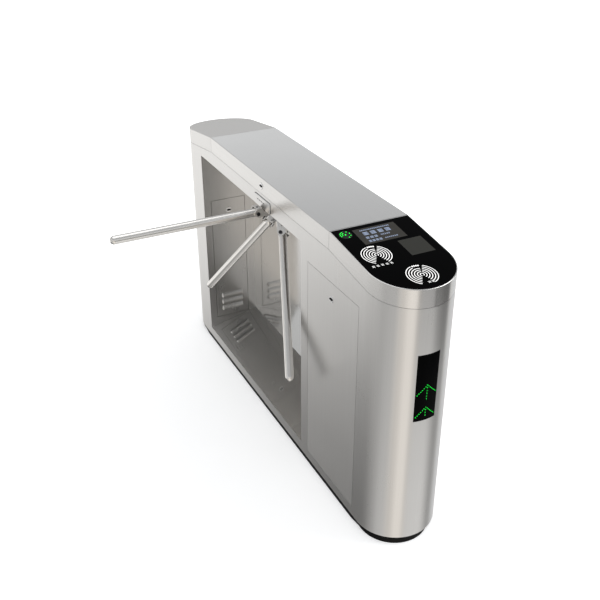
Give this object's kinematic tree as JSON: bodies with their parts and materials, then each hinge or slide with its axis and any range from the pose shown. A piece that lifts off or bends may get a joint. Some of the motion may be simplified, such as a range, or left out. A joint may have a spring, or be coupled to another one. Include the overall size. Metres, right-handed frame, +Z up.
{
  "type": "tripod turnstile",
  "caption": "Long round-ended stainless turnstile cabinet with an open niche, a tilted tripod hub with drop arm, sloped black reader panel and arrow window.",
  "frame": {"origin": "on the floor, at the middle of the cabinet's plan outline", "axes": "+X along the cabinet to the reader end, -Y to the passage side where the arms stand out, +Z up"},
  "size_m": [1.71, 0.837, 1],
  "materials": {
    "cabinet_steel": "304 stainless sheet, fine vertical brushing",
    "top_steel": "304 stainless sheet, fine lengthwise brushing",
    "polished_steel": "mirror-polished stainless sheet",
    "arm_steel": "polished stainless tube and castings",
    "plinth_paint": "black satin powder coat",
    "zinc_coat": "zinc-plated mild steel",
    "plated_steel": "bright zinc plate",
    "machined_steel": "turned and ground steel",
    "cast_alloy": "die-cast aluminium",
    "hub_iron": "dark coated casting",
    "dark_bolt": "black-oxide socket screws",
    "lock_chrome": "chrome-plated zinc lock",
    "black_glass": "black back-printed acrylic",
    "display_face": "dark display behind acrylic",
    "scanner_face": "smoked scanner window",
    "green_lens": "dark lens with green light",
    "circuit_board": "green solder resist",
    "black_plastic": "moulded black plastic"
  },
  "bodies": {
    "cabinet": {"plinth": "plinth_paint", "base_plate": "zinc_coat", "floor_pan": "zinc_coat", "cable_gland": "black_plastic", "frame_tubes": "zinc_coat", "far_end_shell": "cabinet_steel", "near_end_shell": "cabinet_steel", "far_inner_wall": "cabinet_steel", "near_inner_wall": "cabinet_steel", "front_sill": "cabinet_steel", "beam_front": "cabinet_steel", "rear_panel": "cabinet_steel", "niche_back_wall": "polished_steel", "niche_floor": "cabinet_steel", "beam_tray": "cabinet_steel", "mechanism_face_plate": "cabinet_steel", "far_cap": "top_steel", "near_cap": "top_steel", "reader_glass": "black_glass", "display_module": "display_face", "scanner_module": "scanner_face", "card_readers": "black_plastic", "indicator_lens": "green_lens", "arrow_window": "black_glass", "arrow_led_board": "circuit_board", "mech_front_plate": "plated_steel", "mech_rear_plate": "plated_steel", "plate_spacers": "plated_steel", "bearing_housing": "cast_alloy", "shaft_bearings": "machined_steel", "pawl_solenoids": "black_plastic", "control_board": "circuit_board", "power_supply": "zinc_coat", "body_hinge_leaves": "plated_steel"},
    "hub": {"hub_core": "hub_iron", "main_shaft": "machined_steel", "index_disc": "machined_steel", "clevis_top": "arm_steel", "clevis_left": "arm_steel", "clevis_right": "arm_steel", "arm_left": "arm_steel", "arm_right": "arm_steel", "pivot_bolts": "dark_bolt", "plunger_screws": "dark_bolt"},
    "drop_arm": {"arm_top": "arm_steel"},
    "pawl_left": {"pawl_left": "machined_steel"},
    "pawl_right": {"pawl_right": "machined_steel"},
    "plunger_left": {"plunger_left": "machined_steel"},
    "plunger_right": {"plunger_right": "machined_steel"},
    "lid": {"main_lid": "top_steel", "lid_hinge_leaves": "plated_steel", "lid_lock_barrel": "lock_chrome"},
    "lid_lock": {"lid_lock_cam": "lock_chrome"},
    "near_door": {"near_door": "cabinet_steel", "near_lock_barrel": "lock_chrome"},
    "near_lock": {"near_lock_cam": "lock_chrome"},
    "far_door": {"far_door": "cabinet_steel", "far_lock_barrel": "lock_chrome"},
    "far_lock": {"far_lock_cam": "lock_chrome"}
  },
  "joints": [
    {"name": "hub_turn", "type": "hinge", "parent": "cabinet", "child": "hub", "pos_m": [0, -0.068, 0.878], "axis": [0, -0.7071, -0.7071], "continuous": true},
    {"name": "arm_drop", "type": "hinge", "parent": "hub", "child": "drop_arm", "pos_m": [0, -0.166, 0.878], "axis": [1, 0, 0], "range_deg": [0, 90]},
    {"name": "pawl_left_swing", "type": "hinge", "parent": "cabinet", "child": "pawl_left", "pos_m": [-0.08, 0.01685, 0.92043], "axis": [0, 0.7071, 0.7071], "range_deg": [0, 11], "stiffness_Nm_per_rad": 0.4, "springref_deg": -17.19},
    {"name": "pawl_right_swing", "type": "hinge", "parent": "cabinet", "child": "pawl_right", "pos_m": [0.08, 0.01685, 0.92043], "axis": [0, -0.7071, -0.7071], "range_deg": [0, 11], "stiffness_Nm_per_rad": 0.4, "springref_deg": -17.19},
    {"name": "plunger_left_slide", "type": "slide", "parent": "cabinet", "child": "plunger_left", "axis": [-1, 0, 0], "range_m": [0, 0.0032]},
    {"name": "plunger_right_slide", "type": "slide", "parent": "cabinet", "child": "plunger_right", "axis": [1, 0, 0], "range_m": [0, 0.0032]},
    {"name": "lid_hinge", "type": "hinge", "parent": "cabinet", "child": "lid", "pos_m": [0, 0.1435, 0.94], "axis": [-1, 0, 0], "range_deg": [0, 75]},
    {"name": "lid_lock_turn", "type": "hinge", "parent": "lid", "child": "lid_lock", "pos_m": [-0.008, -0.14, 0.969], "axis": [0, -1, 0], "range_deg": [-90, 0]},
    {"name": "near_door_tilt", "type": "hinge", "parent": "cabinet", "child": "near_door", "pos_m": [0.515, -0.135, 0.064], "axis": [1, 0, 0], "range_deg": [0, 7]},
    {"name": "near_lock_turn", "type": "hinge", "parent": "near_door", "child": "near_lock", "pos_m": [0.514, -0.14, 0.778], "axis": [0, -1, 0], "range_deg": [-90, 0]},
    {"name": "far_door_tilt", "type": "hinge", "parent": "cabinet", "child": "far_door", "pos_m": [-0.621, -0.032, 0.116], "axis": [0, 1, 0], "range_deg": [0, 20]},
    {"name": "far_lock_turn", "type": "hinge", "parent": "far_door", "child": "far_lock", "pos_m": [-0.616, -0.03, 0.625], "axis": [1, 0, 0], "range_deg": [-90, 0]}
  ],
  "couplings": [
    {"joint": "plunger_left_slide", "follows": "pawl_left_swing", "m_per_rad": 0.016},
    {"joint": "plunger_right_slide", "follows": "pawl_right_swing", "m_per_rad": 0.016}
  ]
}
